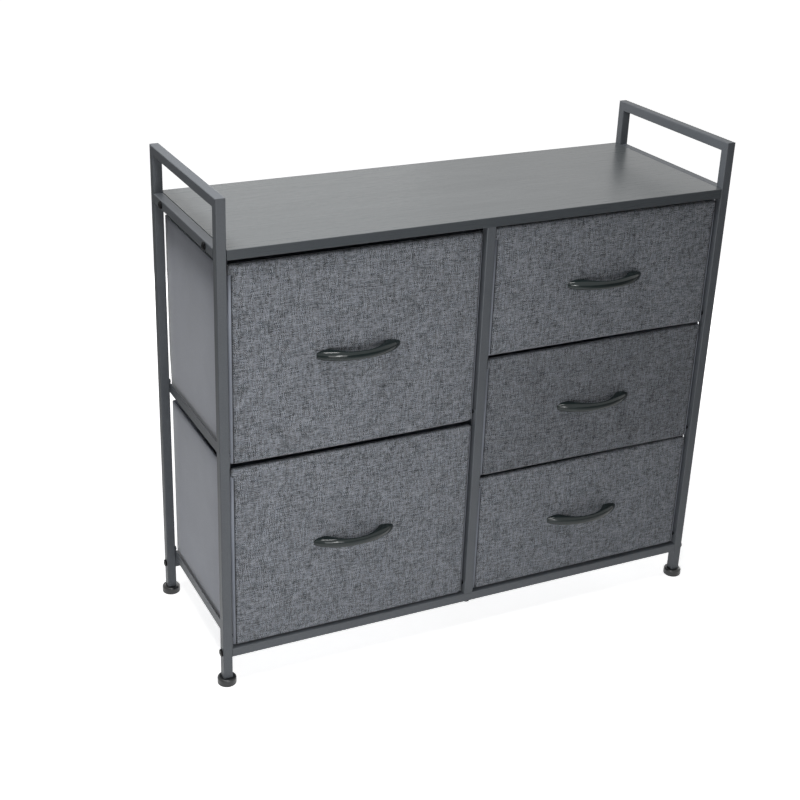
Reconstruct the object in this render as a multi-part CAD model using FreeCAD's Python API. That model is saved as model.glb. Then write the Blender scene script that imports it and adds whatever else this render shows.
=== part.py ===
import FreeCAD, Part
import math
import os

# Free-standing chest of five fabric drawers in a square steel tube frame, millimetres.
# +Z is up, the drawer fronts face -Y, the origin is on the floor under the middle of the whole.

# ---- frame ----
WIDTH = 860.0            # over the posts
DEPTH = 300.0            # over the posts
HEIGHT = 790.0           # floor to the top of the side handles
TUBE = 15.0              # square tube, outside
WALL = 1.2
TUBE_R = 1.5             # rounded long edges of the tube
HANDLE_RISE = 74.0       # top of the board to the top of a side handle
BOARD_T = 15.0
BOARD_R = 0.8            # eased edges of the board
BOARD_GAP = 0.5          # board to each top side rail
BOTTOM_RAIL_Z = 50.0     # underside of the bottom rails
FOOT_H = 13.0            # floor to the end of a post

# ---- feet ----
FOOT_D = 30.0
FOOT_R_TOP = 3.5
FOOT_R_BOTTOM = 2.0
FOOT_SEAT = 0.3          # pad to the end of its post
STEM_D = 6.0
STEM_L = 18.0
STEM_PLAY = 0.3          # round the stem, on the radius
FOOT_INSERT_L = 20.0

# ---- fasteners ----
BOLT_D = 6.0
BOLT_L = 24.0
BOLT_HEAD_D = 12.0
BOLT_HEAD_H = 3.2
BOLT_HEAD_R = 1.8        # rounding of the head
BOLT_HEX = 4.0           # across the flats of the key socket
BOLT_HEX_DEPTH = 2.0
BOLT_INSET = 50.0        # board bolts, from the front and back of the posts
PLUG_L = 11.0
BOARD_INSERT_D = 10.0
BOARD_INSERT_L = 10.0
SCREW_D = 3.6
SCREW_L = 7.5
SCREW_HEAD_D = 7.0
SCREW_HEAD_H = 1.7
CROSS_W = 0.9            # arms of the cross recess
CROSS_DEPTH = 0.9
HOLE_PLAY = 0.15         # round a fastener, on the radius
OVER = 1.0               # a cutter runs this far past the faces it cuts

# ---- runners ----
RUNNER_T = 1.2
RUNNER_H = 17.0
RUNNER_SHELF = 14.0      # width of the shelf under a bin
RUNNER_LIFT = 1.0        # lowest runner above the bottom rails
RUNNER_END = 2.0         # end of a runner from the outer face of its post
EAR_H = 22.0             # screwed ears at both ends
EAR_SCREW_Z = 18.0
SHELF_START = 22.0       # shelf's front end behind the face of the posts
STOP_H = 12.0            # upturned stop at the back of the shelf
STOP_INSET = 3.2         # stop's near side from the face of the post
STOP_Y = 8.0             # stop's rear face in front of the back of the posts

# ---- centre brackets ----
BRACKET_T = 1.5
BRACKET_LEG = 25.0
BRACKET_W = 12.0
BRACKET_SCREW = 15.0     # board screw from the post

# ---- drawers ----
SIDE_GAP = 4.0           # drawer front to a post
TOP_GAP = 8.5            # top drawers to the board
BETWEEN_GAP = 6.5        # front to front
BOTTOM_GAP = 6.0         # lowest front to the bottom rail
FRONT_SET = 4.0          # drawer fronts behind the face of the posts
COVER_T = 1.5
FRONT_BOARD_T = 6.0
FRONT_R = 5.0            # rounded corners of a front
FRONT_EDGE_R = 2.5       # rounding round its face
BIN_T = 2.5
BIN_R = 4.0              # upright corners of a bin
BIN_DROP = 15.0          # rim of a bin under the top of its front, to pass the runner above
BIN_REST = 0.3           # bin above its shelf
STOP_PLAY = 1.0          # bin to the stop
BASE_T = 3.0
BASE_R = 2.0
BASE_PLAY = 1.0
BOARD_FIT = 0.2          # stiffener in the cover

# ---- bow handles ----
HANDLE_L = 137.0
HANDLE_OUT = 25.0        # from the drawer front
HANDLE_DROP = 2.0        # below the middle of the front
HANDLE_CC = 96.0         # screw spacing
BOW_INSIDE_L = 82.0      # width of the finger space at the front
BOW_INSIDE = 17.5        # depth of the finger space
BOW_HALF_MID = 6.5       # half height at the middle
BOW_HALF_END = 8.3       # half height where the ends flare
BOW_TIP = 2.6            # half height at the very ends
BOW_TAPER = 0.2          # share of each arm over which the end closes
BOW_ROUND = 0.85         # squareness of the section: 1 is an ellipse
BOW_BURY = 6.0           # blank of the bow behind the front, cut off level with it
HSCREW_D = 4.0
HSCREW_HEAD_D = 8.0
HSCREW_HEAD_H = 2.2
HSCREW_BITE = 6.0        # screw length inside the handle
HSCREW_FREE = 1.5        # hole beyond the screw's end

# ---- derived ----
FOOT_OVER = (FOOT_D - TUBE) / 2
REACH = HANDLE_OUT - FRONT_SET
Y_FRONT = -(REACH + DEPTH + FOOT_OVER) / 2 + REACH
Y_BACK = Y_FRONT + DEPTH
X_OUT = WIDTH / 2
X_IN = X_OUT - TUBE
BOARD_TOP = HEIGHT - HANDLE_RISE
BOARD_LOW = BOARD_TOP - BOARD_T
RAIL_TOP = BOTTOM_RAIL_Z + TUBE
BORE = TUBE - 2 * WALL
BOLT_HOLE = BOLT_D + 2 * HOLE_PLAY
SCREW_HOLE = SCREW_D + 2 * HOLE_PLAY
HSCREW_HOLE = HSCREW_D + 2 * HOLE_PLAY
BAY = X_IN - TUBE / 2
DRAWER_W = BAY - 2 * SIDE_GAP
FRONT_Y = Y_FRONT + FRONT_SET
CAVITY = BOARD_LOW - RAIL_TOP - BOTTOM_GAP - TOP_GAP
BOARD_X = X_IN - BOARD_GAP
RUNNER_Z0 = RAIL_TOP + RUNNER_LIFT
FRONT_LIFT = RAIL_TOP + BOTTOM_GAP - RUNNER_Z0
STOP_FACE = Y_BACK - STOP_Y - RUNNER_T
BIN_FRONT = FRONT_Y + COVER_T + FRONT_BOARD_T + BOARD_FIT
BIN_BACK = STOP_FACE - STOP_PLAY


def column(count):
    """Bottom and height of each drawer front in a column, lowest first."""
    high = (CAVITY - (count - 1) * BETWEEN_GAP) / count
    low = RAIL_TOP + BOTTOM_GAP
    return [(low + n * (high + BETWEEN_GAP), high) for n in range(count)]


DRAWERS = []
for side, names in ((-1, ("lower_left", "upper_left")),
                    (1, ("lower_right", "middle_right", "upper_right"))):
    for name, (low, high) in zip(names, column(len(names))):
        DRAWERS.append((name, side * (TUBE / 2 + BAY / 2), low, high))


# ---- shape helpers ----
def box(x0, x1, y0, y1, z0, z1):
    return Part.makeBox(x1 - x0, y1 - y0, z1 - z0, FreeCAD.Vector(x0, y0, z0))


def rod(x, y, z, axis, diameter, length):
    return Part.makeCylinder(diameter / 2, length, FreeCAD.Vector(x, y, z), FreeCAD.Vector(*axis))


def rounded_bar(x0, x1, y0, y1, z0, z1, axis, radius):
    """A bar whose long edges, parallel to the axis, are rounded."""
    bar = box(x0, x1, y0, y1, z0, z1)
    long_edges = []
    for edge in bar.Edges:
        ends = edge.Vertexes[1].Point - edge.Vertexes[0].Point
        if abs(ends.dot(FreeCAD.Vector(*axis))) > 1e-6:
            long_edges.append(edge)
    return bar.makeFillet(radius, long_edges)


def tube(x0, x1, y0, y1, z0, z1, axis):
    """Square tube along one axis, open at both ends."""
    inner = [x0 + WALL, x1 - WALL, y0 + WALL, y1 - WALL, z0 + WALL, z1 - WALL]
    for k in range(3):
        if axis[k]:
            inner[2 * k] = (x0, y0, z0)[k] - OVER
            inner[2 * k + 1] = (x1, y1, z1)[k] + OVER
    return rounded_bar(x0, x1, y0, y1, z0, z1, axis, TUBE_R).cut(box(*inner))


def wedge(points, x0, x1):
    """Prism over a polygon of (y, z) points."""
    wire = Part.makePolygon([FreeCAD.Vector(x0, y, z) for y, z in points + points[:1]])
    return Part.Face(wire).extrude(FreeCAD.Vector(x1 - x0, 0, 0))


def save(name, *shapes):
    shape = shapes[0] if len(shapes) == 1 else Part.makeCompound(list(shapes))
    shape.exportStep("parts/%s.step" % name)


# ---- frame pieces ----
def post_span(front):
    return (Y_FRONT, Y_FRONT + TUBE) if front else (Y_BACK - TUBE, Y_BACK)


def runner_ear_ys():
    """Middle of the screwed ears at the front and back posts."""
    return (Y_FRONT + (TUBE + RUNNER_END) / 2, Y_BACK - (TUBE + RUNNER_END) / 2)


def runner_low(front_low):
    return front_low - FRONT_LIFT


def side_post(side, front):
    """Corner post, mitred at the top into the side handle."""
    y0, y1 = post_span(front)
    xa, xb = sorted((side * X_OUT, side * X_IN))
    post = tube(xa, xb, y0, y1, FOOT_H, HEIGHT, (0, 0, 1))
    outer, inner = (y0, y1) if front else (y1, y0)
    beyond = outer - (inner - outer)
    mitre = [(outer, HEIGHT), (inner, HEIGHT - TUBE), (inner, HEIGHT + TUBE), (beyond, HEIGHT + TUBE)]
    post = post.cut(wedge(mitre, xa - OVER, xb + OVER))
    post = post.cut(rod(side * (X_OUT + OVER), (y0 + y1) / 2, BOTTOM_RAIL_Z + TUBE / 2,
                        (-side, 0, 0), BOLT_HOLE, TUBE + 2 * OVER))
    y_ear = runner_ear_ys()[0 if front else 1]
    for _, x_mid, low, _ in DRAWERS:
        if x_mid * side > 0:
            z = runner_low(low) + EAR_SCREW_Z
            post = post.cut(rod(side * (X_IN - OVER), y_ear, z, (side, 0, 0),
                                SCREW_HOLE, WALL + 2 * OVER))
    return post


def handle_rail(side):
    """Carrying handle over a side, mitred at both ends."""
    xa, xb = sorted((side * X_OUT, side * X_IN))
    rail = tube(xa, xb, Y_FRONT, Y_BACK, HEIGHT - TUBE, HEIGHT, (0, 1, 0))
    for outer, inner in ((Y_FRONT, Y_FRONT + TUBE), (Y_BACK, Y_BACK - TUBE)):
        beyond = outer - (inner - outer)
        corner = [(outer, HEIGHT), (inner, HEIGHT - TUBE), (inner, HEIGHT - 2 * TUBE),
                  (beyond, HEIGHT - 2 * TUBE), (beyond, HEIGHT + TUBE)]
        rail = rail.cut(wedge(corner, xa - OVER, xb + OVER))
    return rail


def board_bolt_ys():
    return (Y_FRONT + BOLT_INSET, Y_BACK - BOLT_INSET)


def top_side_rail(side):
    """Rail between the posts of one side, level with the board that is bolted to it."""
    xa, xb = sorted((side * X_OUT, side * X_IN))
    rail = tube(xa, xb, Y_FRONT + TUBE, Y_BACK - TUBE, BOARD_TOP - TUBE, BOARD_TOP, (0, 1, 0))
    for y in board_bolt_ys():
        rail = rail.cut(rod(xa - OVER, y, BOARD_TOP - TUBE / 2, (1, 0, 0),
                            BOLT_HOLE, TUBE + 2 * OVER))
    return rail


def bottom_rail(front):
    """Rail between the posts of the front or the back, with the centre post's bolt hole."""
    y0, y1 = post_span(front)
    rail = tube(-X_IN, X_IN, y0, y1, BOTTOM_RAIL_Z, RAIL_TOP, (1, 0, 0))
    return rail.cut(rod(0, (y0 + y1) / 2, BOTTOM_RAIL_Z - OVER, (0, 0, 1),
                        BOLT_HOLE, TUBE + 2 * OVER))


def centre_post(front):
    """Post between the two columns, from the bottom rail to the board."""
    y0, y1 = post_span(front)
    half = TUBE / 2
    post = tube(-half, half, y0, y1, RAIL_TOP, BOARD_LOW, (0, 0, 1))
    y_ear = runner_ear_ys()[0 if front else 1]
    for _, x_mid, low, _ in DRAWERS:
        side = 1 if x_mid > 0 else -1
        z = runner_low(low) + EAR_SCREW_Z
        post = post.cut(rod(side * (half + OVER), y_ear, z, (-side, 0, 0),
                            SCREW_HOLE, WALL + 2 * OVER))
    y_face, inward = (y1, -1) if front else (y0, 1)
    return post.cut(rod(0, y_face - OVER * inward, BOARD_LOW - BRACKET_LEG / 2, (0, inward, 0),
                        SCREW_HOLE, WALL + 2 * OVER))


def top_board():
    """Laminated board between the side rails, with bores for the bolt inserts."""
    board = rounded_bar(-BOARD_X, BOARD_X, Y_FRONT, Y_BACK, BOARD_LOW, BOARD_TOP,
                        (1, 0, 0), BOARD_R)
    for side in (-1, 1):
        for y in board_bolt_ys():
            board = board.cut(rod(side * (BOARD_X + OVER), y, BOARD_TOP - TUBE / 2, (-side, 0, 0),
                                  BOARD_INSERT_D, BOARD_INSERT_L + OVER))
    for y in bracket_board_ys():
        board = board.cut(rod(0, y, BOARD_LOW - OVER, (0, 0, 1), SCREW_HOLE, SCREW_L + OVER))
    return board


def board_inserts():
    out = []
    z = BOARD_TOP - TUBE / 2
    for side in (-1, 1):
        for y in board_bolt_ys():
            body = rod(side * BOARD_X, y, z, (-side, 0, 0), BOARD_INSERT_D, BOARD_INSERT_L)
            out.append(body.cut(rod(side * (BOARD_X + OVER), y, z, (-side, 0, 0),
                                    BOLT_HOLE, BOARD_INSERT_L + 2 * OVER)))
    return out


def tube_plugs():
    """Threaded plugs in the ends of the bottom rails and in the feet of the centre posts."""
    out = []
    half = BORE / 2
    z = BOTTOM_RAIL_Z + TUBE / 2
    for front in (True, False):
        y = sum(post_span(front)) / 2
        for side in (-1, 1):
            xa, xb = sorted((side * X_IN, side * (X_IN - PLUG_L)))
            plug = box(xa, xb, y - half, y + half, z - half, z + half)
            out.append(plug.cut(rod(xa - OVER, y, z, (1, 0, 0), BOLT_HOLE, PLUG_L + 2 * OVER)))
        plug = box(-half, half, y - half, y + half, RAIL_TOP, RAIL_TOP + PLUG_L)
        out.append(plug.cut(rod(0, y, RAIL_TOP - OVER, (0, 0, 1), BOLT_HOLE, PLUG_L + 2 * OVER)))
    return out


def bolt(x, y, z, axis):
    """Button-head bolt with a key socket; the point is under the head, the shank runs along axis."""
    d = FreeCAD.Vector(*axis)
    p = FreeCAD.Vector(x, y, z)
    crown = p - d * BOLT_HEAD_H
    head = Part.makeCylinder(BOLT_HEAD_D / 2, BOLT_HEAD_H, crown, d)
    head = head.makeFillet(BOLT_HEAD_R, [e for e in head.Edges if (e.CenterOfMass - crown).Length < 1e-6])
    socket = hexagon_prism(crown, d, BOLT_HEX, BOLT_HEX_DEPTH)
    shank = Part.makeCylinder(BOLT_D / 2, BOLT_L, p, d)
    return head.cut(socket).fuse(shank)


def hexagon_prism(start, direction, flats, length):
    radius = flats / math.sqrt(3)
    across = FreeCAD.Vector(0, 0, 1) if abs(direction.z) < 0.5 else FreeCAD.Vector(1, 0, 0)
    other = direction.cross(across)
    ring = [start + across * (radius * math.cos(math.pi * k / 3))
            + other * (radius * math.sin(math.pi * k / 3)) for k in range(7)]
    return Part.Face(Part.makePolygon(ring)).extrude(direction * length)


def frame_bolts():
    """Ten like bolts: board to side rails, posts to bottom rails, bottom rails to centre posts."""
    out = []
    for side in (-1, 1):
        for y in board_bolt_ys():
            out.append(bolt(side * X_OUT, y, BOARD_TOP - TUBE / 2, (-side, 0, 0)))
        for front in (True, False):
            y = sum(post_span(front)) / 2
            out.append(bolt(side * X_OUT, y, BOTTOM_RAIL_Z + TUBE / 2, (-side, 0, 0)))
    for front in (True, False):
        out.append(bolt(0, sum(post_span(front)) / 2, BOTTOM_RAIL_Z, (0, 0, 1)))
    return out


# ---- brackets that hold the centre posts to the board ----
def bracket_board_ys():
    return (Y_FRONT + TUBE + BRACKET_SCREW, Y_BACK - TUBE - BRACKET_SCREW)


def centre_brackets():
    out = []
    half = BRACKET_W / 2
    for front, y_board in zip((True, False), bracket_board_ys()):
        face = Y_FRONT + TUBE if front else Y_BACK - TUBE
        way = 1 if front else -1
        ya, yb = sorted((face, face + way * BRACKET_T))
        yc, yd = sorted((face, face + way * BRACKET_LEG))
        part = box(-half, half, ya, yb, BOARD_LOW - BRACKET_LEG, BOARD_LOW)
        part = part.fuse(box(-half, half, yc, yd, BOARD_LOW - BRACKET_T, BOARD_LOW)).removeSplitter()
        part = part.cut(rod(0, y_board, BOARD_LOW - BRACKET_T - OVER, (0, 0, 1),
                            SCREW_HOLE, BRACKET_T + 2 * OVER))
        part = part.cut(rod(0, ya - OVER, BOARD_LOW - BRACKET_LEG / 2, (0, 1, 0),
                            SCREW_HOLE, BRACKET_T + 2 * OVER))
        out.append(part)
    return out


def screw(x, y, z, axis, diameter, length, head_d, head_h):
    """Pan-head screw; the point is under the head, the shank runs along axis."""
    d = FreeCAD.Vector(*axis)
    p = FreeCAD.Vector(x, y, z)
    crown = p - d * head_h
    arm = Part.makeBox(head_d * 0.6, CROSS_W, CROSS_DEPTH,
                       FreeCAD.Vector(-head_d * 0.3, -CROSS_W / 2, -CROSS_DEPTH))
    cross = arm.fuse(arm.rotated(FreeCAD.Vector(0, 0, 0), FreeCAD.Vector(0, 0, 1), 90))
    cross.Placement = FreeCAD.Placement(crown, FreeCAD.Rotation(FreeCAD.Vector(0, 0, 1), d * -1))
    head = Part.makeCylinder(head_d / 2, head_h, crown, d).cut(cross)
    return head.fuse(Part.makeCylinder(diameter / 2, length, p, d))


def frame_screw(x, y, z, axis):
    return screw(x, y, z, axis, SCREW_D, SCREW_L, SCREW_HEAD_D, SCREW_HEAD_H)


def frame_screws():
    """Like screws: two through the ears of each runner, two in each centre bracket."""
    out = []
    for _, x_mid, low, _ in DRAWERS:
        z = runner_low(low) + EAR_SCREW_Z
        for way in (-1, 1):
            x = x_mid + way * (BAY / 2 - RUNNER_T)
            for y in runner_ear_ys():
                out.append(frame_screw(x, y, z, (way, 0, 0)))
    for front, y_board in zip((True, False), bracket_board_ys()):
        face = Y_FRONT + TUBE + BRACKET_T if front else Y_BACK - TUBE - BRACKET_T
        out.append(frame_screw(0, y_board, BOARD_LOW - BRACKET_T, (0, 0, 1)))
        out.append(frame_screw(0, face, BOARD_LOW - BRACKET_LEG / 2, (0, -1 if front else 1, 0)))
    return out


# ---- runners: steel angles whose shelves carry the bins ----
def runner(x_face, way, low):
    """Angle on the face x_face of two posts, its shelf pointing along way."""
    def across(a, b):
        return sorted((x_face + way * a, x_face + way * b))

    xa, xb = across(0, RUNNER_T)
    xc, xd = across(0, RUNNER_SHELF)
    y0 = Y_FRONT + RUNNER_END
    y1 = Y_BACK - RUNNER_END
    part = box(xa, xb, y0, y1, low, low + RUNNER_H)
    part = part.fuse(box(xa, xb, y0, Y_FRONT + TUBE, low, low + EAR_H))
    part = part.fuse(box(xa, xb, Y_BACK - TUBE, y1, low, low + EAR_H))
    part = part.fuse(box(xc, xd, Y_FRONT + SHELF_START, STOP_FACE + RUNNER_T, low, low + RUNNER_T))
    xe, xf = across(STOP_INSET, RUNNER_SHELF)
    part = part.fuse(box(xe, xf, STOP_FACE, STOP_FACE + RUNNER_T, low, low + STOP_H))
    part = part.removeSplitter()
    for y in runner_ear_ys():
        part = part.cut(rod(xa - OVER, y, low + EAR_SCREW_Z, (1, 0, 0),
                            SCREW_HOLE, RUNNER_T + 2 * OVER))
    return part


def runner_pair(x_mid, low):
    z = runner_low(low)
    return [runner(x_mid - BAY / 2, 1, z), runner(x_mid + BAY / 2, -1, z)]


# ---- feet ----
def foot_insert(x, y):
    """Threaded plug pressed into the end of a post."""
    half = BORE / 2
    body = box(x - half, x + half, y - half, y + half, FOOT_H, FOOT_H + FOOT_INSERT_L)
    return body.cut(rod(x, y, FOOT_H - OVER, (0, 0, 1), STEM_D + 2 * STEM_PLAY,
                        FOOT_INSERT_L + 2 * OVER))


def foot(x, y):
    """Screw-in glide: thick round pad and a stem."""
    high = FOOT_H - FOOT_SEAT
    pad = rod(x, y, 0, (0, 0, 1), FOOT_D, high)
    for z, radius in ((high, FOOT_R_TOP), (0, FOOT_R_BOTTOM)):
        middle = FreeCAD.Vector(x, y, z)
        pad = pad.makeFillet(radius, [e for e in pad.Edges if (e.CenterOfMass - middle).Length < 1e-6])
    return pad.fuse(rod(x, y, high / 2, (0, 0, 1), STEM_D, FOOT_H - high / 2 + STEM_L))


# ---- drawers ----
def screw_xs(x_mid):
    return (x_mid - HANDLE_CC / 2, x_mid + HANDLE_CC / 2)


def handle_z(low, high):
    """Height of the handle's middle."""
    return low + high / 2 - HANDLE_DROP


def drill_front(shape, x_mid, z_mid):
    """Clear both handle screws' holes through the cover, the board and the bin's front wall."""
    through = BIN_FRONT + BIN_T - FRONT_Y + 2 * OVER
    for x in screw_xs(x_mid):
        shape = shape.cut(rod(x, FRONT_Y - OVER, z_mid, (0, 1, 0), HSCREW_HOLE, through))
    return shape


def front_cover(x_mid, low, high):
    """Cloth stretched over the front board and round its edges."""
    half = DRAWER_W / 2
    depth = COVER_T + FRONT_BOARD_T + BOARD_FIT
    pad = box(x_mid - half, x_mid + half, FRONT_Y, FRONT_Y + depth, low, low + high)
    pad = rounded_bar(x_mid - half, x_mid + half, FRONT_Y, FRONT_Y + depth, low, low + high,
                      (0, 1, 0), FRONT_R)
    rim = [e for e in pad.Edges if all(abs(v.Point.y - FRONT_Y) < 1e-6 for v in e.Vertexes)]
    pad = pad.makeFillet(FRONT_EDGE_R, rim)
    hollow = rounded_bar(x_mid - half + COVER_T, x_mid + half - COVER_T, FRONT_Y + COVER_T,
                         FRONT_Y + depth + OVER, low + COVER_T, low + high - COVER_T,
                         (0, 1, 0), FRONT_R - COVER_T)
    return drill_front(pad.cut(hollow), x_mid, handle_z(low, high))


def front_board(x_mid, low, high):
    """Stiff board inside the cloth of the front."""
    half = DRAWER_W / 2 - COVER_T - BOARD_FIT
    inset = COVER_T + BOARD_FIT
    y0 = FRONT_Y + COVER_T
    board = rounded_bar(x_mid - half, x_mid + half, y0, y0 + FRONT_BOARD_T,
                        low + inset, low + high - inset, (0, 1, 0), FRONT_R - COVER_T)
    return drill_front(board, x_mid, handle_z(low, high))


def bin_box(x_mid, low, high):
    """Open-topped box of stiffened non-woven cloth behind the front."""
    half = DRAWER_W / 2
    z0 = runner_low(low) + RUNNER_T + BIN_REST
    z1 = low + high - BIN_DROP
    outer = rounded_bar(x_mid - half, x_mid + half, BIN_FRONT, BIN_BACK, z0, z1, (0, 0, 1), BIN_R)
    inner = rounded_bar(x_mid - half + BIN_T, x_mid + half - BIN_T, BIN_FRONT + BIN_T,
                        BIN_BACK - BIN_T, z0 + BIN_T, z1 + OVER, (0, 0, 1), BIN_R - BIN_T)
    return drill_front(outer.cut(inner), x_mid, handle_z(low, high))


def base_board(x_mid, low):
    """Loose stiffener on the floor of a bin."""
    half = DRAWER_W / 2 - BIN_T - BASE_PLAY
    z0 = runner_low(low) + RUNNER_T + BIN_REST + BIN_T
    return rounded_bar(x_mid - half, x_mid + half, BIN_FRONT + BIN_T + BASE_PLAY,
                       BIN_BACK - BIN_T - BASE_PLAY, z0, z0 + BASE_T, (0, 0, 1), BASE_R)


def bow_section(u):
    """Front and back y (from the drawer front) and half height of the bow, u from -1 to 1."""
    arm = abs(u)
    outer = -HANDLE_OUT * (1 - arm ** 2) ** 0.75
    inner = -BOW_INSIDE * (1 - (arm * HANDLE_L / BOW_INSIDE_L) ** 2.4)
    flare = math.sin(math.pi * arm ** 1.6) ** 2
    half = BOW_HALF_MID + (BOW_HALF_END - BOW_HALF_MID) * flare
    close = max(0.0, (arm - 1 + BOW_TAPER) / BOW_TAPER)
    return outer, min(inner, BOW_BURY), BOW_TIP + (half - BOW_TIP) * math.sqrt(1 - close ** 2)


def bow_ring(x_mid, z_mid, u):
    """Closed section of the bow in a plane across its length."""
    outer, inner, half = bow_section(u)
    points = []
    for k in range(16):
        c, s = math.cos(math.pi * k / 8), math.sin(math.pi * k / 8)
        points.append(FreeCAD.Vector(
            x_mid + u * HANDLE_L / 2,
            FRONT_Y + (outer + inner) / 2
            - (inner - outer) / 2 * math.copysign(abs(c) ** BOW_ROUND, c),
            z_mid + half * math.copysign(abs(s) ** BOW_ROUND, s)))
    curve = Part.BSplineCurve()
    curve.interpolate(Points=points, PeriodicFlag=True)
    return Part.Wire(curve.toShape())


def bow_handle(x_mid, z_mid):
    """Cast bow: a crescent that springs from two flared ends lying on the front."""
    stations = 21
    rings = [bow_ring(x_mid, z_mid, math.sin(math.pi * (n / (stations - 1) - 0.5)) * 0.985)
             for n in range(stations)]
    bow = Part.makeLoft(rings, True, False)
    bow = bow.common(box(x_mid - HANDLE_L, x_mid + HANDLE_L, FRONT_Y - 2 * HANDLE_OUT, FRONT_Y,
                         z_mid - 2 * BOW_HALF_END, z_mid + 2 * BOW_HALF_END))
    for x in screw_xs(x_mid):
        bow = bow.cut(rod(x, FRONT_Y + OVER, z_mid, (0, -1, 0), HSCREW_HOLE,
                          OVER + HSCREW_BITE + HSCREW_FREE))
    return bow.Solids[0]


def handle_screws(x_mid, z_mid):
    """Two screws from inside the bin into the ends of the bow."""
    seat = BIN_FRONT + BIN_T
    return [screw(x, seat, z_mid, (0, -1, 0), HSCREW_D, seat - FRONT_Y + HSCREW_BITE,
                  HSCREW_HEAD_D, HSCREW_HEAD_H) for x in screw_xs(x_mid)]


# ---- write every piece ----
os.makedirs("parts", exist_ok=True)
for end, front in (("front", True), ("back", False)):
    y = sum(post_span(front)) / 2
    for hand, side in (("left", -1), ("right", 1)):
        save("post_%s_%s" % (end, hand), side_post(side, front))
        save("foot_%s_%s" % (end, hand), foot(side * (X_OUT - TUBE / 2), y))
    save("bottom_rail_%s" % end, bottom_rail(front))
    save("centre_post_%s" % end, centre_post(front))
for hand, side in (("left", -1), ("right", 1)):
    save("handle_rail_%s" % hand, handle_rail(side))
    save("top_rail_%s" % hand, top_side_rail(side))
save("foot_inserts", *[foot_insert(side * (X_OUT - TUBE / 2), sum(post_span(front)) / 2)
                       for side in (-1, 1) for front in (True, False)])
save("top_board", top_board())
save("board_inserts", *board_inserts())
save("tube_plugs", *tube_plugs())
save("frame_bolts", *frame_bolts())
save("frame_screws", *frame_screws())
save("centre_brackets", *centre_brackets())
for name, x_mid, low, high in DRAWERS:
    z_mid = handle_z(low, high)
    save("runners_%s" % name, *runner_pair(x_mid, low))
    save("bin_%s" % name, bin_box(x_mid, low, high))
    save("base_board_%s" % name, base_board(x_mid, low))
    save("front_board_%s" % name, front_board(x_mid, low, high))
    save("front_cover_%s" % name, front_cover(x_mid, low, high))
    save("handle_%s" % name, bow_handle(x_mid, z_mid))
    save("handle_screws_%s" % name, *handle_screws(x_mid, z_mid))
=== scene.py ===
import bpy
import bmesh
import math
from mathutils import Matrix, Vector, noise


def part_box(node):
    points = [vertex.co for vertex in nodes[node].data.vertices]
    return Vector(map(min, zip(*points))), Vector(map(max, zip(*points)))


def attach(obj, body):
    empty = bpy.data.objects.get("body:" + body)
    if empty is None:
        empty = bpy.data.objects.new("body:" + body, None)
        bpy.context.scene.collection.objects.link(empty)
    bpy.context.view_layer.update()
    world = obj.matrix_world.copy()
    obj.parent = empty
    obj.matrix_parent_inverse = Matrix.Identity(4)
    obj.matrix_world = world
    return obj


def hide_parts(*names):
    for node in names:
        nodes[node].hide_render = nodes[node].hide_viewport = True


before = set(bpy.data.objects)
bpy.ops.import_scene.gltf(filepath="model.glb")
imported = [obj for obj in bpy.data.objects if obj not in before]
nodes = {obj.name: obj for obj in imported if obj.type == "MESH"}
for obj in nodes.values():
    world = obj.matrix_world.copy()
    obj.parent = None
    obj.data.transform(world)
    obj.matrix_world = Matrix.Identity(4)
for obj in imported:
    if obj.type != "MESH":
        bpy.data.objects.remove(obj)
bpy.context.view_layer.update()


# ---- steel frame ----
# Four mitred posts, two carrying handles, side rails and bottom rails of 15 mm square steel
# tube, welded and bolted, and powder coated graphite grey. The powder melts to a satin skin
# with a fine orange peel, so edges catch a soft line of light.
def linear(code):
    """sRGB hex to the linear colour that a shader takes."""
    parts = [int(code[k:k + 2], 16) / 255 for k in (1, 3, 5)]
    return [c / 12.92 if c <= 0.04045 else ((c + 0.055) / 1.055) ** 2.4 for c in parts] + [1.0]


def add(tree, kind, inputs, **settings):
    """One shader node with its settings, and its inputs as values or as links."""
    made = tree.nodes.new("ShaderNode" + kind)
    for name, value in settings.items():
        setattr(made, name, value)
    for key, value in inputs.items():
        if isinstance(value, bpy.types.NodeSocket):
            tree.links.new(value, made.inputs[key])
        else:
            made.inputs[key].default_value = value
    return made


def new_finish(name):
    """An empty material, its node tree and its object coordinates in metres."""
    finish = bpy.data.materials.new(name)
    finish.use_nodes = True
    finish.node_tree.nodes.clear()
    where = add(finish.node_tree, "TexCoord", {}).outputs["Object"]
    return finish, finish.node_tree, where


def end_finish(tree, shader):
    """Joins the finished shader to the material's surface."""
    add(tree, "OutputMaterial", {"Surface": shader.outputs[0]})


def dress(finish, *names):
    """Puts a finish on CAD nodes whose shapes are shown as they are."""
    for name in names:
        for used in nodes[name].material_slots:
            used.material = finish


powder_coat, tree, where = new_finish("graphite powder coat on steel")
cloud = add(tree, "TexNoise", {"Vector": where, "Scale": 14.0, "Detail": 3.0})
grain = add(tree, "TexNoise", {"Vector": where, "Scale": 700.0, "Detail": 2.0})
tone = add(tree, "Mix", {0: cloud.outputs[0], 6: linear("#565a5f"), 7: linear("#62666b")},
           data_type="RGBA")
fleck = add(tree, "MapRange", {0: grain.outputs[0], 1: 0.3, 2: 0.7, 3: 0.92, 4: 1.08})
colour = add(tree, "VectorMath", {0: tone.outputs[2], 3: fleck.outputs[0]}, operation="SCALE")
gloss = add(tree, "MapRange", {0: cloud.outputs[0], 1: 0.3, 2: 0.7, 3: 0.44, 4: 0.52})
peel = add(tree, "Bump", {"Height": grain.outputs[0], "Strength": 0.25, "Distance": 0.0001})
end_finish(tree, add(tree, "BsdfPrincipled", {
    "Base Color": colour.outputs[0], "Roughness": gloss.outputs[0], "IOR": 1.42,
    "Normal": peel.outputs[0]}))
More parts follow.
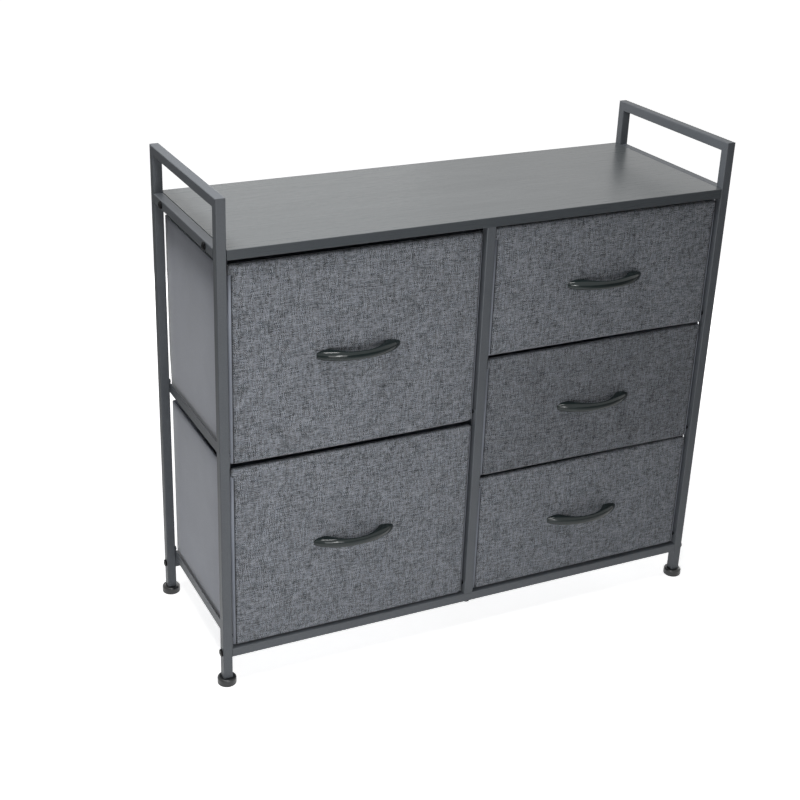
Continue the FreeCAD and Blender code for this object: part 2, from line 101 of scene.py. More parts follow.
dress(powder_coat, *[n for n in nodes if n.startswith(
    ("post_", "handle_rail_", "top_rail_", "bottom_rail_", "centre_", "runners_"))])


# ---- fasteners ----
# Button-head bolts and small pan-head screws of steel, chemically blackened: dark, a little
# oily, with a worn glint on the rims. The board's inserts are zinc, and the threaded plugs
# in the tube ends are moulded nylon.
blackened, tree, where = new_finish("black oxide on steel screws")
smut = add(tree, "TexNoise", {"Vector": where, "Scale": 400.0, "Detail": 4.0})
tone = add(tree, "Mix", {0: smut.outputs[0], 6: linear("#131314"), 7: linear("#232324")},
           data_type="RGBA")
gloss = add(tree, "MapRange", {0: smut.outputs[0], 1: 0.3, 2: 0.7, 3: 0.28, 4: 0.45})
end_finish(tree, add(tree, "BsdfPrincipled", {
    "Base Color": tone.outputs[2], "Metallic": 1.0, "Roughness": gloss.outputs[0]}))
dress(blackened, "frame_bolts", "frame_screws")

zinc, tree, where = new_finish("turned zinc inserts")
lathe = add(tree, "TexNoise", {"Vector": where, "Scale": 900.0, "Detail": 2.0})
gloss = add(tree, "MapRange", {0: lathe.outputs[0], 1: 0.3, 2: 0.7, 3: 0.3, 4: 0.5})
end_finish(tree, add(tree, "BsdfPrincipled", {
    "Base Color": linear("#a9a7a1"), "Metallic": 1.0, "Roughness": gloss.outputs[0]}))
dress(zinc, "board_inserts")

nylon, tree, where = new_finish("black moulded nylon plugs")
skin = add(tree, "TexNoise", {"Vector": where, "Scale": 500.0, "Detail": 3.0})
peel = add(tree, "Bump", {"Height": skin.outputs[0], "Strength": 0.2, "Distance": 0.0001})
end_finish(tree, add(tree, "BsdfPrincipled", {
    "Base Color": linear("#202123"), "Roughness": 0.5, "Normal": peel.outputs[0]}))
dress(nylon, "tube_plugs", "foot_inserts")


# ---- feet ----
# Screw-in glides: thick round pads of black ABS, moulded round a steel stem. The mould left
# a half-gloss skin, dulled a little where the pads rub the floor.
abs_pad, tree, where = new_finish("black moulded ABS glides")
skin = add(tree, "TexNoise", {"Vector": where, "Scale": 260.0, "Detail": 4.0})
height = add(tree, "SeparateXYZ", {0: where})
scuff = add(tree, "MapRange", {0: height.outputs[2], 1: 0.0, 2: 0.004, 3: 0.62, 4: 0.30})
tone = add(tree, "Mix", {0: skin.outputs[0], 6: linear("#131415"), 7: linear("#242628")},
           data_type="RGBA")
peel = add(tree, "Bump", {"Height": skin.outputs[0], "Strength": 0.15, "Distance": 0.0002})
end_finish(tree, add(tree, "BsdfPrincipled", {
    "Base Color": tone.outputs[2], "Roughness": scuff.outputs[0], "IOR": 1.54,
    "Normal": peel.outputs[0]}))
dress(abs_pad, "foot_front_left", "foot_front_right", "foot_back_left", "foot_back_right")


# ---- top board ----
# Particle board 15 mm thick under grey laminate with a printed wood grain along its length.
# The satin melamine face mirrors the posts dimly at a low angle, and the grain is faint.
laminate, tree, where = new_finish("grey wood-grain melamine laminate")
along = add(tree, "Mapping", {"Vector": where, "Scale": (1.1, 34.0, 34.0)})
bands = add(tree, "TexNoise", {"Vector": along.outputs[0], "Scale": 1.0, "Detail": 5.0,
                               "Roughness": 0.6, "Distortion": 0.4})
streaks = add(tree, "Mapping", {"Vector": where, "Scale": (14.0, 900.0, 900.0)})
pores = add(tree, "TexNoise", {"Vector": streaks.outputs[0], "Scale": 1.0, "Detail": 2.0})
tone = add(tree, "Mix", {0: bands.outputs[0], 6: linear("#54585a"), 7: linear("#64686a")},
           data_type="RGBA")
# Painted shade: the board's edges, all faces that don't face up, are drawn darker than its
# top, as they take less of the overhead light.
facing = add(tree, "SeparateXYZ", {0: add(tree, "NewGeometry", {}).outputs["Normal"]})
flat = add(tree, "Math", {0: facing.outputs[2], 1: 0.7}, operation="GREATER_THAN")
band = add(tree, "VectorMath", {0: tone.outputs[2], 1: (0.72, 0.75, 0.80)},
           operation="MULTIPLY")
tone = add(tree, "Mix", {0: flat.outputs[0], 6: band.outputs[0], 7: tone.outputs[2]},
           data_type="RGBA")
vein = add(tree, "MapRange", {0: pores.outputs[0], 1: 0.35, 2: 0.7, 3: 1.05, 4: 0.90})
colour = add(tree, "VectorMath", {0: tone.outputs[2], 3: vein.outputs[0]}, operation="SCALE")
gloss = add(tree, "MapRange", {0: pores.outputs[0], 1: 0.3, 2: 0.7, 3: 0.26, 4: 0.34})
relief = add(tree, "Bump", {"Height": pores.outputs[0], "Strength": 0.12, "Distance": 0.0001})
end_finish(tree, add(tree, "BsdfPrincipled", {
    "Base Color": colour.outputs[0], "Roughness": gloss.outputs[0], "IOR": 1.5,
    "Normal": relief.outputs[0]}))
dress(laminate, "top_board")


# ---- drawer fronts ----
# Each front is a fibre board in a tight sleeve of slubby grey linen-look polyester over thin
# wadding: crowned a few millimetres, drawn in where the handle's screws pull it, and sewn down
# beside the folded side cloth in a groove. Its stitch line is drawn near-black: partly dark
# thread, partly painted shade in the groove.
linen, tree, where = new_finish("slubby grey linen-look weave")
weave_map = add(tree, "UVMap", {}, uv_map="weave")
# Real yarns lie about 0.7 mm apart; they are drawn at 1.6 mm, the finest that shows. Each
# yarn differs from the next, and its shade drifts every 12 mm or so along its run.
yarn = 0.0016
shade_run = 0.012
# Neighbouring yarns read the noise this far apart, which makes them unlike each other.
yarn_step = 7.31
counted = add(tree, "VectorMath", {0: weave_map.outputs[0], 3: 1 / yarn}, operation="SCALE")
cell = add(tree, "VectorMath", {0: counted.outputs[0]}, operation="FLOOR")
cell_xy = add(tree, "SeparateXYZ", {0: cell.outputs[0]})
run_xy = add(tree, "SeparateXYZ", {0: weave_map.outputs[0]})
shades = []
for across, along, seed in ((0, 1, 3.7), (1, 0, 11.3)):
    apart = add(tree, "Math", {0: cell_xy.outputs[across], 1: yarn_step},
                operation="MULTIPLY")
    drift = add(tree, "Math", {0: run_xy.outputs[along], 1: 1 / shade_run},
                operation="MULTIPLY")
    spot = add(tree, "CombineXYZ", {0: drift.outputs[0], 1: apart.outputs[0], 2: seed})
    shades.append(add(tree, "TexNoise", {"Vector": spot.outputs[0], "Scale": 1.0,
                                         "Detail": 3.0, "Roughness": 0.7}))
# It is a plain weave: warp and weft lie uppermost by turns.
turns = add(tree, "Math", {0: cell_xy.outputs[0], 1: cell_xy.outputs[1]}, operation="ADD")
over = add(tree, "Math", {0: turns.outputs[0], 1: 2.0}, operation="FLOORED_MODULO")
shade = add(tree, "Mix", {0: over.outputs[0], 2: shades[0].outputs[0],
                          3: shades[1].outputs[0]}, data_type="FLOAT")
fuzz = add(tree, "TexNoise", {"Vector": where, "Scale": 800.0, "Detail": 1.0})
cloud = add(tree, "TexNoise", {"Vector": where, "Scale": 30.0, "Detail": 1.0})
soft = add(tree, "MapRange", {0: fuzz.outputs[0], 1: 0.3, 2: 0.7, 3: -0.05, 4: 0.05})
wide = add(tree, "MapRange", {0: cloud.outputs[0], 1: 0.3, 2: 0.7, 3: -0.01, 4: 0.01})
both = add(tree, "Math", {0: shade.outputs[0], 1: soft.outputs[0]}, operation="ADD")
both = add(tree, "Math", {0: both.outputs[0], 1: wide.outputs[0]}, operation="ADD")
mixed = add(tree, "MapRange", {0: both.outputs[0], 1: 0.345, 2: 0.655})
cool = add(tree, "Mix", {0: mixed.outputs[0], 6: linear("#33383d"), 7: linear("#9fa7b3")},
           data_type="RGBA")
warm = add(tree, "Mix", {0: mixed.outputs[0], 6: linear("#38393a"), 7: linear("#a7a8ac")},
           data_type="RGBA")
tone = add(tree, "Mix", {0: over.outputs[0], 6: cool.outputs[2], 7: warm.outputs[2]},
           data_type="RGBA")
# Painted shade: the middle right front is drawn a fifth darker than the others, as it lay
# darker in the light.
painted_shade = add(tree, "Attribute", {}, attribute_name="painted_shade")
depth = add(tree, "MapRange", {0: painted_shade.outputs["Fac"], 3: 1.0, 4: 0.8})
tone = add(tree, "VectorMath", {0: tone.outputs[2], 3: depth.outputs[0]}, operation="SCALE")
# Painted shade: the stitch line is drawn near-black, partly for the dark thread and partly for
# the shade in its groove.
seam = add(tree, "Attribute", {}, attribute_name="stitch_thread_and_shade")
sewn = add(tree, "Mix", {0: seam.outputs["Fac"], 6: tone.outputs[0], 7: linear("#26282b")},
           data_type="RGBA")
relief = add(tree, "Bump", {"Height": both.outputs[0], "Strength": 0.5, "Distance": 0.0006})
end_finish(tree, add(tree, "BsdfPrincipled", {
    "Base Color": sewn.outputs[2], "Roughness": 0.92, "IOR": 1.45, "Sheen Weight": 0.12,
    "Sheen Roughness": 0.5, "Normal": relief.outputs[0]}))


def make_piece(name, mesh_maker, finish, body):
    """A new object at the origin, with its place in its mesh, riding on a body."""
    mesh = bpy.data.meshes.new(name)
    mesh_maker.to_mesh(mesh)
    mesh_maker.free()
    mesh.materials.append(finish)
    mesh.shade_smooth()
    piece = bpy.data.objects.new(name, mesh)
    bpy.context.scene.collection.objects.link(piece)
    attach(piece, body)
    return piece


def lay_weave(mesh_maker, y_front):
    """UVs in metres that run over the front and on round its edges, as the cloth does."""
    uv = mesh_maker.loops.layers.uv.new("weave")
    for face in mesh_maker.faces:
        n = face.normal
        for corner in face.loops:
            x, y, z = corner.vert.co
            deep = y - y_front
            if abs(n.y) >= max(abs(n.x), abs(n.z)):
                corner[uv].uv = (x, z)
            elif abs(n.x) > abs(n.z):
                corner[uv].uv = (x + math.copysign(deep, n.x), z)
            else:
                corner[uv].uv = (x, z + math.copysign(deep, n.z))


drawer_names = [n[len("front_cover_"):] for n in nodes if n.startswith("front_cover_")]
across = 96
rim_steps, rim_width = 8, 0.012
round_over, round_width = 0.003, 0.007
# Bottom corners are sewn rounder than the top ones.
top_corner, bottom_corner = 0.004, 0.008
# How far each front's cloth lies over (or under) its board's edges at the left end, the middle
# and the right end: first along its top, then along its bottom.
hang = {"upper_left": ((-0.0005, -0.0003, 0.0002), (-0.0015, -0.0029, -0.0014)),
        "lower_left": ((-0.0038, -0.0041, -0.0034), (-0.0037, -0.0040, -0.0042)),
        "upper_right": ((0.0038, 0.0035, 0.0032), (0.0003, 0.0007, -0.0016)),
        "middle_right": ((0.0, 0.0, 0.0012), (0.0, -0.0003, -0.0014)),
        "lower_right": ((0.0005, 0.0009, 0.0022), (-0.0031, -0.0030, -0.0028))}


def side_fold(name, x):
    """How far the bin's side cloth reaches on to a front, at its left or its right."""
    if name.endswith("left"):
        return 0.0034 if x < 0 else 0.0004
    return 0.0022 if x < 0 else 0.0016


def hang_at(ends, share):
    """The hang between the three points where it is known."""
    left, mid, right = ends
    return (left * (1 - share) * (1 - 2 * share) + mid * 4 * share * (1 - share)
            + right * share * (2 * share - 1))


def corner_of(z):
    return top_corner if z > 0 else bottom_corner


def edge_gap(x, z, half_x, half_z):
    """Distance from the outline of a front with rounded corners."""
    corner = corner_of(z)
    in_x = abs(x) - half_x + corner
    in_z = abs(z) - half_z + corner
    if in_x > 0 and in_z > 0:
        return corner - math.hypot(in_x, in_z)
    return min(half_x - abs(x), half_z - abs(z))


fronts = {}
for name in drawer_names:
    low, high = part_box("front_cover_" + name)
    rim_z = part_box("bin_" + name)[1].z
    middle = (low + high) / 2
    half_x = (high.x - low.x) / 2
    half_z = (high.z - low.z) / 2
    up = 2 * round(across / 2 * half_z / half_x)
    cloth = bmesh.new()
    bmesh.ops.create_grid(cloth, x_segments=across, y_segments=up, size=1.0)
    for vert in cloth.verts:
        place = []
        for value, steps, half in ((vert.co.x, across, half_x), (vert.co.y, up, half_z)):
            share = 1 - 2 * rim_steps / steps
            if abs(value) <= share:
                place.append(value / share * (half - rim_width))
            else:
                out = (abs(value) - share) / (1 - share)
                place.append(math.copysign(half - rim_width * (1 - out), value))
        x, z = place
        corner = corner_of(z)
        in_x = abs(x) - half_x + corner
        in_z = abs(z) - half_z + corner
        if in_x > 0 and in_z > 0:
            pull = max(in_x, in_z) / math.hypot(in_x, in_z)
            x = math.copysign(half_x - corner + in_x * pull, x)
            z = math.copysign(half_z - corner + in_z * pull, z)
        gap = max(0.0, edge_gap(x, z, half_x, half_z))
        deep = round_over * (1 - math.sqrt(1 - max(0.0, 1 - gap / round_width) ** 2))
        vert.co = Vector((middle.x + x, low.y + deep, middle.z + z))
    bmesh.ops.recalc_face_normals(cloth, faces=cloth.faces)
    if sum(face.normal.y for face in cloth.faces) > 0:
        bmesh.ops.reverse_faces(cloth, faces=cloth.faces)
    mesh = bpy.data.meshes.new("front_" + name)
    cloth.to_mesh(mesh)
    cloth.free()
    piece = bpy.data.objects.new("front_" + name, mesh)
    bpy.context.scene.collection.objects.link(piece)
    fronts[name] = (piece, middle, half_x, half_z, low.y, high.y, rim_z)

# The wadding pushes the linen out while its rim and the two screws hold it: a short cloth
# simulation of all five gives the crown, scaled to what such a thin pad stands proud.
screw_reach = 0.048
held_rim, held_screw = 0.0075, 0.008
crown_height, crown_steps = 0.0028, 18
still = {}
for name, (piece, middle, half_x, half_z, *_) in fronts.items():
    held = piece.vertex_groups.new(name="held")
    for vert in piece.data.vertices:
        x = vert.co.x - middle.x
        z = vert.co.z - middle.z
        pull = math.hypot(abs(x) - screw_reach, z)
        if edge_gap(x, z, half_x, half_z) < held_rim or pull < held_screw:
            held.add([vert.index], 1.0, "REPLACE")
    still[name] = [vert.co.copy() for vert in piece.data.vertices]
    puff = piece.modifiers.new("puff", "CLOTH")
    puff.settings.vertex_group_mass = "held"
    puff.settings.quality = 6
    puff.settings.mass = 0.2
    puff.settings.tension_stiffness = 18
    puff.settings.compression_stiffness = 18
    puff.settings.shear_stiffness = 8
    puff.settings.bending_stiffness = 0.8
    puff.settings.effector_weights.gravity = 0.0
    puff.settings.use_pressure = True
    puff.settings.uniform_pressure_force = 1.5
    puff.settings.shrink_min = -0.004
    puff.collision_settings.use_collision = False
for step in range(1, crown_steps + 1):
    bpy.context.scene.frame_set(step)
settled = {}
for name, (piece, *_) in fronts.items():
    shown = piece.evaluated_get(bpy.context.evaluated_depsgraph_get())
    settled[name] = [vert.co.copy() for vert in shown.data.vertices]
bpy.context.scene.frame_set(1)

# The wadding is a little uneven, clear of the rim.
uneven, uneven_per_metre, uneven_from, uneven_run = 0.0003, 26, 0.008, 0.02
# The linen lies this deep at its seams, and springs back over a short run.
seam_width, seam_reach = 0.0016, 0.0003
sewn_deep, sewn_run, sewn_reach = 0.0026, 0.005, 0.006
# The top and bottom edges' hang fades out over this height.
hang_fade = 0.07
for name, (piece, middle, half_x, half_z, y_front, y_back, rim_z) in fronts.items():
    piece.vertex_groups.clear()
    moves = [after - before for after, before in zip(settled[name], still[name])]
    tallest = max(-move.y for move in moves)
    scale = crown_height / tallest if tallest > 1e-6 else 0.0
    cloth = bmesh.new()
    cloth.from_mesh(piece.data)
    cloth.verts.ensure_lookup_table()
    stitch_thread_and_shade = cloth.verts.layers.float.new("stitch_thread_and_shade")
    painted_shade_layer = cloth.verts.layers.float.new("painted_shade")
    along_top, along_bottom = hang[name]
    for vert, move in zip(cloth.verts, moves):
        x = vert.co.x - middle.x
        z = vert.co.z - middle.z
        gap = edge_gap(x, z, half_x, half_z)
        side_gap = half_x - abs(x)
        vert.co.y += move.y * scale
        # Painted shade: the middle right front is marked to be drawn darker.
        vert[painted_shade_layer] = 1.0 if name == "middle_right" else 0.0
        if gap > uneven_from:
            vert.co.y += (uneven * noise.noise(vert.co * uneven_per_metre)
                          * min(1.0, (gap - uneven_from) / uneven_run))
        fold = side_fold(name, x)
        if vert.co.z < rim_z + 0.001 and side_gap < fold + sewn_reach:
            # Under the folded side cloth and along its seam the linen is sewn down flat.
            past_seam = side_gap - fold - seam_width / 2
            eased = 1 - min(1.0, max(0.0, past_seam) / sewn_run)
            vert.co.y = max(vert.co.y, y_front + sewn_deep * eased ** 2)
            # The stitch line is marked for its dark thread and the painted shade of its
            # groove.
            if abs(past_seam) < seam_width / 2 + seam_reach:
                vert[stitch_thread_and_shade] = 1.0
        share = (x + half_x) / (2 * half_x)
        near_top = max(0.0, 1 - (half_z - z) / hang_fade)
        near_bottom = max(0.0, 1 - (half_z + z) / hang_fade)
        vert.co.z += (hang_at(along_top, share) * near_top
                      + hang_at(along_bottom, share) * near_bottom)
    rim = [edge for edge in cloth.edges if edge.is_boundary]
    backs = bmesh.ops.extrude_edge_only(cloth, edges=rim)["geom"]
    for part in backs:
        if isinstance(part, bmesh.types.BMVert):
            part.co.y = y_back
    bmesh.ops.edgenet_fill(cloth, edges=[edge for edge in cloth.edges if edge.is_boundary])
    bmesh.ops.recalc_face_normals(cloth, faces=cloth.faces)
    lay_weave(cloth, y_front)
    bpy.data.objects.remove(piece)
    front = make_piece("front_%s_linen" % name, cloth, linen, "drawer_" + name)
    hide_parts("front_cover_" + name)


# ---- bins ----
# Open boxes of stiffened spunbond, the non-woven polypropylene of shopping bags: pale grey
# with a blue cast, felted fibres pressed with a fine dot pattern, and slightly slack between
# the folded corners.
spunbond, tree, where = new_finish("pale grey spunbond non-woven")
cloud = add(tree, "TexNoise", {"Vector": where, "Scale": 16.0, "Detail": 4.0})
fibre = add(tree, "TexNoise", {"Vector": where, "Scale": 420.0, "Detail": 5.0,
                               "Roughness": 0.7, "Distortion": 1.2})
# The pressed dots lie 1.6 mm apart.
dots = add(tree, "TexVoronoi", {"Vector": where, "Scale": 620.0, "Randomness": 0.25})
tone = add(tree, "Mix", {0: cloud.outputs[0], 6: linear("#9ea3af"), 7: linear("#afb4c0")},
           data_type="RGBA")
felt = add(tree, "MapRange", {0: fibre.outputs[0], 1: 0.3, 2: 0.7, 3: 0.93, 4: 1.07})
dimple = add(tree, "MapRange", {0: dots.outputs[0], 1: 0.1, 2: 0.5, 3: 0.95, 4: 1.02})
mottle = add(tree, "Math", {0: felt.outputs[0], 1: dimple.outputs[0]}, operation="MULTIPLY")
colour = add(tree, "VectorMath", {0: tone.outputs[2], 3: mottle.outputs[0]}, operation="SCALE")
height = add(tree, "Math", {0: fibre.outputs[0], 1: dots.outputs[0]}, operation="ADD")
relief = add(tree, "Bump", {"Height": height.outputs[0], "Strength": 0.25, "Distance": 0.0004})
end_finish(tree, add(tree, "BsdfPrincipled", {
    "Base Color": colour.outputs[0], "Roughness": 0.8, "IOR": 1.45, "Sheen Weight": 0.6,
    "Sheen Roughness": 0.35, "Normal": relief.outputs[0]}))

wall, fold_radius = 0.0025, 0.0035
slack_depth, uneven_depth, uneven_per_metre = 0.0012, 0.0004, 9
# The highest row of cuts lies this far below the rim.
rim_band = 0.012
# How near a point lies to the floor, to a rim or a cut, or to the far wall when it is on it,
# and how far out it is as a share of the half width.
at_floor, at_line, at_far_wall, at_wall = 0.0003, 0.0005, 0.004, 0.995
# Ahead of the runners' shelves a lowest bin's floor hangs down to the bottom of its front.
floor_hang, floor_hang_run = 0.0015, 0.0095
# The far side walls stand nearly as high as the fronts.
rim_lift, top_rim_lift, rim_lift_run = 0.0148, 0.019, 0.03
# Their front corners stand a little higher and bulge towards the post, most at the rim.
corner_lift, corner_run = 0.002, 0.005
bulge, top_bulge, bulge_depth, bulge_drop = 0.003, 0.0042, 0.035, 0.04
# The tall upper drawer's back leans out over the runners' stops.
lean, lean_from, lean_run, at_back = 0.006, 0.016, 0.04, 0.9
for name in drawer_names:
    low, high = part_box("bin_" + name)
    size = high - low
    middle = (low + high) / 2
    box = bmesh.new()
    bmesh.ops.create_cube(box, size=1.0)
    bmesh.ops.scale(box, vec=size, verts=box.verts)
    bmesh.ops.translate(box, vec=middle, verts=box.verts)
    lid = [face for face in box.faces if face.normal.z > 0.9]
    bmesh.ops.delete(box, geom=lid, context="FACES_ONLY")
    folds = [edge for edge in box.edges
             if not edge.is_boundary and (edge.verts[0].co.z != edge.verts[1].co.z
                                          or max(v.co.y for v in edge.verts) > middle.y
                                          or not name.startswith("lower"))]
    bmesh.ops.bevel(box, geom=folds, offset=fold_radius, segments=3, profile=0.5,
                    affect="EDGES", material=-1)
    cuts = [(Vector((low.x + size.x * k / 12, 0, 0)), Vector((1, 0, 0))) for k in range(1, 12)]
    cuts += [(Vector((0, low.y + size.y * k / 9, 0)), Vector((0, 1, 0))) for k in range(1, 9)]
    cuts += [(Vector((0, 0, low.z + (size.z - rim_band) * k / 8)), Vector((0, 0, 1)))
             for k in range(1, 9)]
    cuts.append((Vector((0, low.y + floor_hang_run, 0)), Vector((0, 1, 0))))
    for point, normal in cuts:
        bmesh.ops.bisect_plane(box, geom=box.verts[:] + box.edges[:] + box.faces[:],
                               plane_co=point, plane_no=normal)
    for vert in box.verts:
        u = (vert.co.x - middle.x) / (size.x / 2)
        v = (vert.co.y - middle.y) / (size.y / 2)
        w = (vert.co.z - low.z) / size.z
        slack = (slack_depth * math.sin(math.pi * min(1.0, w))
                 + uneven_depth * noise.noise(vert.co * uneven_per_metre))
        if abs(u) > at_wall:
            vert.co.x -= math.copysign(slack * (1 - v * v), u)
        if v > at_wall:
            vert.co.y -= slack * (1 - u * u)
        if (name.startswith("lower") and vert.co.z < low.z + at_floor
                and vert.co.y < low.y + floor_hang_run - at_line):
            vert.co.z -= floor_hang
        if name.endswith("right") and vert.co.z > high.z - at_line:
            share = max(0.0, 1 - (high.x - vert.co.x) / rim_lift_run)
            lift = top_rim_lift if name == "upper_right" else rim_lift
            lift += corner_lift if vert.co.y < low.y + corner_run else 0.0
            vert.co.z += lift * share * share * (3 - 2 * share)
        if name.endswith("right") and vert.co.x > high.x - at_far_wall:
            near_front = max(0.0, 1 - (vert.co.y - low.y) / bulge_depth)
            near_rim = max(0.0, 1 - max(0.0, high.z - vert.co.z) / bulge_drop)
            out = top_bulge if name == "upper_right" else bulge
            vert.co.x += out * near_front * near_rim
        if name == "upper_left" and v > at_back:
            share = min(1.0, max(0.0, (vert.co.z - low.z - lean_from) / lean_run))
            vert.co.y += lean * share * share * (3 - 2 * share)
    bmesh.ops.recalc_face_normals(box, faces=box.faces)
    bmesh.ops.solidify(box, geom=box.faces[:], thickness=wall)
    bmesh.ops.recalc_face_normals(box, faces=box.faces)
    cloth_bin = make_piece("bin_%s_cloth" % name, box, spunbond, "drawer_" + name)
    soften = cloth_bin.modifiers.new("soft edges", "BEVEL")
    soften.width = 0.0008
    soften.segments = 2
    soften.limit_method = "ANGLE"
    soften.angle_limit = math.radians(50)
    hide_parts("bin_" + name)


# ---- folded side cloth beside the fronts ----
# The bins' side cloth comes forward past the front's edges, folds round them and is sewn to
# the linen: a smooth strip up to the bin's rim on each side of every front. These strips get a
# copy of the spunbond drawn darker and with less sheen: painted shade, as the same cloth lies
# darker on the fronts than on the bins' sides.
spunbond_painted_darker = spunbond.copy()
spunbond_painted_darker.name = "grey spunbond non-woven, painted darker"
for used in spunbond_painted_darker.node_tree.nodes:
    if used.bl_idname == "ShaderNodeMix":
        used.inputs[6].default_value = linear("#878c97")
        used.inputs[7].default_value = linear("#969ba6")
    if used.bl_idname == "ShaderNodeBsdfPrincipled":
        used.inputs["Sheen Weight"].default_value = 0.15

narrow_fold, wide_fold = 0.0008, 0.003
# How far a strip reaches back along its bin, and how far it stays off the ends.
tuck, off_bottom, off_rim = 0.004, 0.0015, 0.0005
for name in drawer_names:
    low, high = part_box("front_cover_" + name)
    rim_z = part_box("bin_" + name)[1].z
    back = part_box("bin_" + name)[0].y + tuck
    for side, label in ((-1, "left"), (1, "right")):
        edge_x = low.x if side < 0 else high.x
        fold = side_fold(name, side)
        foot = low.z + hang[name][1][0 if side < 0 else 2] + off_bottom
        # Each point of the bend: its way in from the front's edge, and behind its face.
        bend = [(-0.0007, 0.0045), (-0.0004, 0.0034)]
        bend += [(0.0002, 0.0026)] if fold > narrow_fold else []
        bend += [(0.0012, 0.0021), (0.0024, 0.0019)] if fold > wide_fold else []
        bend += [(fold, 0.0021 if fold > narrow_fold else 0.0026)]
        outline = [(bend[0][0], back)] + [(inward, low.y + deep) for inward, deep in bend]
        strip = bmesh.new()
        row = [strip.verts.new((edge_x - side * inward, y, foot))
               for inward, y in outline]
        line = [strip.edges.new((a, b)) for a, b in zip(row, row[1:])]
        raised = bmesh.ops.extrude_edge_only(strip, edges=line)["geom"]
        for part in raised:
            if isinstance(part, bmesh.types.BMVert):
                part.co.z = rim_z - off_rim
        bmesh.ops.recalc_face_normals(strip, faces=strip.faces)
        band = make_piece("side_fold_%s_%s" % (name, label), strip, spunbond_painted_darker, "drawer_" + name)
        thick = band.modifiers.new("cloth", "SOLIDIFY")
        thick.thickness = 0.0006
        thick.offset = 0.0


# ---- stiffener boards ----
# Thin hardboard: one inside each front's sleeve and one loose on each bin's floor. Pressed
# brown wood fibre, smooth on the face, with darker specks.
hardboard, tree, where = new_finish("brown hardboard")
cloud = add(tree, "TexNoise", {"Vector": where, "Scale": 22.0, "Detail": 4.0})
fibre = add(tree, "TexNoise", {"Vector": where, "Scale": 700.0, "Detail": 5.0,
                               "Distortion": 1.5})
tone = add(tree, "Mix", {0: cloud.outputs[0], 6: linear("#7c634a"), 7: linear("#927758")},
           data_type="RGBA")
speck = add(tree, "MapRange", {0: fibre.outputs[0], 1: 0.35, 2: 0.65, 3: 0.85, 4: 1.08})
colour = add(tree, "VectorMath", {0: tone.outputs[2], 3: speck.outputs[0]}, operation="SCALE")
relief = add(tree, "Bump", {"Height": fibre.outputs[0], "Strength": 0.2, "Distance": 0.0002})
end_finish(tree, add(tree, "BsdfPrincipled", {
    "Base Color": colour.outputs[0], "Roughness": 0.65, "Normal": relief.outputs[0]}))

panel_thick, panel_play = 0.0035, 0.006
for name in drawer_names:
    low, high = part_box("front_board_" + name)
    board = bmesh.new()
    bmesh.ops.create_cube(board, size=1.0)
    bmesh.ops.scale(board, verts=board.verts, vec=(
        high.x - low.x - panel_play, panel_thick, high.z - low.z - panel_play))
    drop = min(0.0, hang[name][0][1])
    bmesh.ops.translate(board, verts=board.verts, vec=(
        (low.x + high.x) / 2, high.y - panel_thick / 2, (low.z + high.z) / 2 + drop))
    stiffener = make_piece("front_board_%s_panel" % name, board, hardboard, "drawer_" + name)
    for face in stiffener.data.polygons:
        face.use_smooth = False
    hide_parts("front_board_" + name)
dress(hardboard, *["base_board_" + n for n in drawer_names])


# ---- handles ----
# Bow handles, die cast in zinc and sprayed with a near-black enamel with a green cast. The
# thick gloss skin gives sharp small lights on the ends' crowns.
enamel, tree, where = new_finish("gloss black-green enamel on cast zinc")
cloud = add(tree, "TexNoise", {"Vector": where, "Scale": 60.0, "Detail": 3.0})
tone = add(tree, "Mix", {0: cloud.outputs[0], 6: linear("#182222"), 7: linear("#222d2d")},
           data_type="RGBA")
flow = add(tree, "Bump", {"Height": cloud.outputs[0], "Strength": 0.08, "Distance": 0.0005})
end_finish(tree, add(tree, "BsdfPrincipled", {
    "Base Color": tone.outputs[2], "Roughness": 0.12, "IOR": 1.42,
    "Normal": flow.outputs[0]}))
dress(enamel, *["handle_" + n for n in drawer_names])
dress(blackened, *["handle_screws_" + n for n in drawer_names])


# ---- room ----
# A seamless pale floor in an even, bright room. One soft lamp hangs over the dresser's left
# side. One stands low before it, with a small one that gives the enamel its sharp lights.
# Two stand behind it and to its right, lower than the board.
paper, tree, where = new_finish("pale matte floor")
grain = add(tree, "TexNoise", {"Vector": where, "Scale": 3.0, "Detail": 2.0})
tone = add(tree, "Mix", {0: grain.outputs[0], 6: linear("#ededed"), 7: linear("#f1f1f1")},
           data_type="RGBA")
# To the lens the floor glows white, a little dimmer near the dresser. In reflections it glows
# as well, brightest around the feet and fading out towards its far edge: a painted reflection
# that brightens the frame's lower faces.
seen = add(tree, "LightPath", {})
reach = add(tree, "VectorMath", {0: where}, operation="LENGTH")
near = add(tree, "MapRange", {0: reach.outputs["Value"], 1: 0.5, 2: 1.3, 3: 1.0, 4: 0.05})
painted_reflection_glow = add(tree, "Math", {0: seen.outputs["Is Glossy Ray"], 1: near.outputs[0]},
               operation="MULTIPLY")
lift = add(tree, "Math", {0: seen.outputs["Is Camera Ray"], 1: painted_reflection_glow.outputs[0]},
           operation="ADD", use_clamp=True)
far = add(tree, "MapRange", {0: reach.outputs["Value"], 1: 0.6, 2: 2.2, 3: 0.8, 4: 1.0})
glow = add(tree, "Math", {0: lift.outputs[0], 1: far.outputs[0]}, operation="MULTIPLY")
end_finish(tree, add(tree, "BsdfPrincipled", {
    "Base Color": tone.outputs[2], "Roughness": 0.95, "Specular IOR Level": 0.1,
    "Emission Color": linear("#ffffff"), "Emission Strength": glow.outputs[0]}))
ground = bmesh.new()
bmesh.ops.create_circle(ground, cap_ends=True, segments=96, radius=9.0)
mesh = bpy.data.meshes.new("floor")
ground.to_mesh(mesh)
ground.free()
mesh.materials.append(paper)
floor = bpy.data.objects.new("floor", mesh)
bpy.context.scene.collection.objects.link(floor)

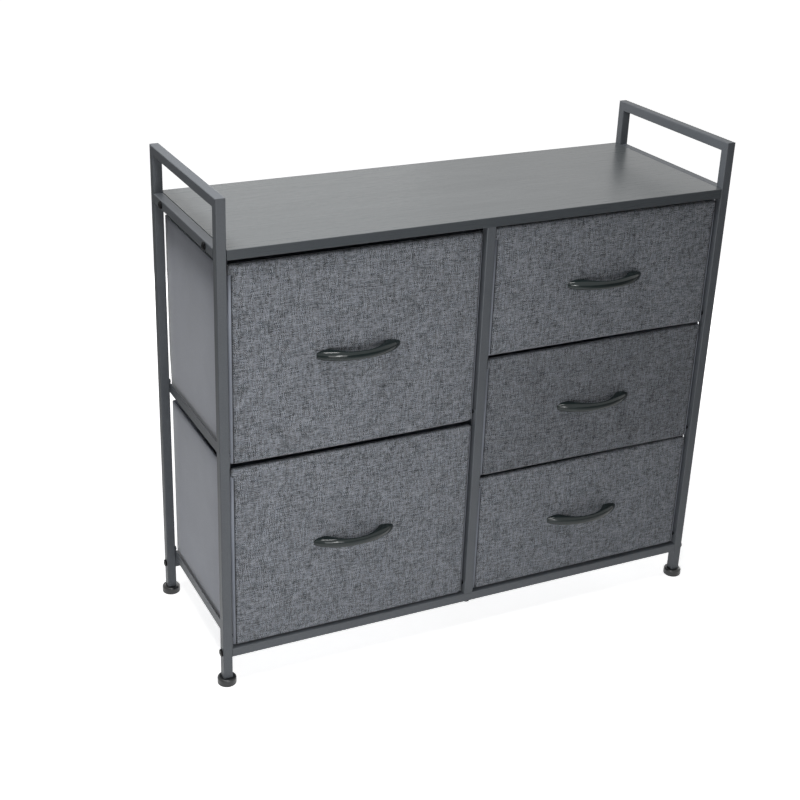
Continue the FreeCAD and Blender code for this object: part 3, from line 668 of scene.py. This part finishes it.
world = bpy.data.worlds.new("bright room")
world.use_nodes = True
tree = world.node_tree
tree.nodes.clear()
seen = add(tree, "LightPath", {})
clear = add(tree, "Math", {0: seen.outputs["Is Camera Ray"], 1: seen.outputs["Is Glossy Ray"]},
            operation="ADD", use_clamp=True)
clear = add(tree, "Math", {0: clear.outputs[0], 1: seen.outputs["Is Transmission Ray"]},
            operation="ADD", use_clamp=True)
power = add(tree, "MapRange", {0: clear.outputs[0], 3: 0.02, 4: 1.0})
sky = add(tree, "Background", {"Color": linear("#ffffff"), "Strength": power.outputs[0]})
add(tree, "OutputWorld", {"Surface": sky.outputs[0]})
bpy.context.scene.world = world


def lamp(name, place, target, size, power):
    """A square soft lamp that faces a point."""
    light = bpy.data.lights.new(name, "AREA")
    light.size = size
    light.energy = power
    holder = bpy.data.objects.new(name, light)
    holder.visible_camera = False
    holder.location = place
    ray = Vector(target) - Vector(place)
    holder.rotation_euler = ray.to_track_quat("-Z", "Y").to_euler()
    bpy.context.scene.collection.objects.link(holder)


lamp("overhead", (-0.53, -0.16, 1.8), (0.05, 0.0, 0.45), 0.6, 17.2)
lamp("front", (-0.5, -1.0, 0.44), (0.05, 0.0, 0.38), 0.5, 2.7)
lamp("spark", (-0.47, -1.0, 0.55), (0.0, 0.0, 0.5), 0.13, 1.3)
lamp("rear", (0.35, 1.6, 0.45), (0.0, 0.15, 0.35), 0.8, 7.5)
lamp("right", (1.6, 0.7, 0.5), (0.43, 0.0, 0.35), 0.6, 6.0)

# The lens stands well above the board and to the left, and looks down at the dresser.
lens_place = (-1.02923, -1.88688, 1.36020)
yaw, pitch, roll = 0.432974, 0.426937, 0.023481
# Its focal length and the middle of its view, in pixels of a square picture.
pixels, focal, centre_x, centre_y = 800, 1427.6, 351.31, 382.66
ahead = Vector((math.sin(yaw) * math.cos(pitch), math.cos(yaw) * math.cos(pitch),
                -math.sin(pitch)))
right = ahead.cross(Vector((0, 0, 1))).normalized()
above = right.cross(ahead)
tilted = right * math.cos(roll) + above * math.sin(roll)
upward = above * math.cos(roll) - right * math.sin(roll)
lens = bpy.data.cameras.new("camera")
lens.sensor_width = 36.0
lens.lens = lens.sensor_width * focal / pixels
lens.shift_x = (pixels / 2 - centre_x) / pixels
lens.shift_y = (centre_y - pixels / 2) / pixels
camera = bpy.data.objects.new("camera", lens)
turn = Matrix((tilted, upward, -ahead)).transposed()
camera.matrix_world = Matrix.Translation(lens_place) @ turn.to_4x4()
bpy.context.scene.collection.objects.link(camera)
bpy.context.scene.camera = camera
bpy.context.scene.view_settings.view_transform = "Standard"
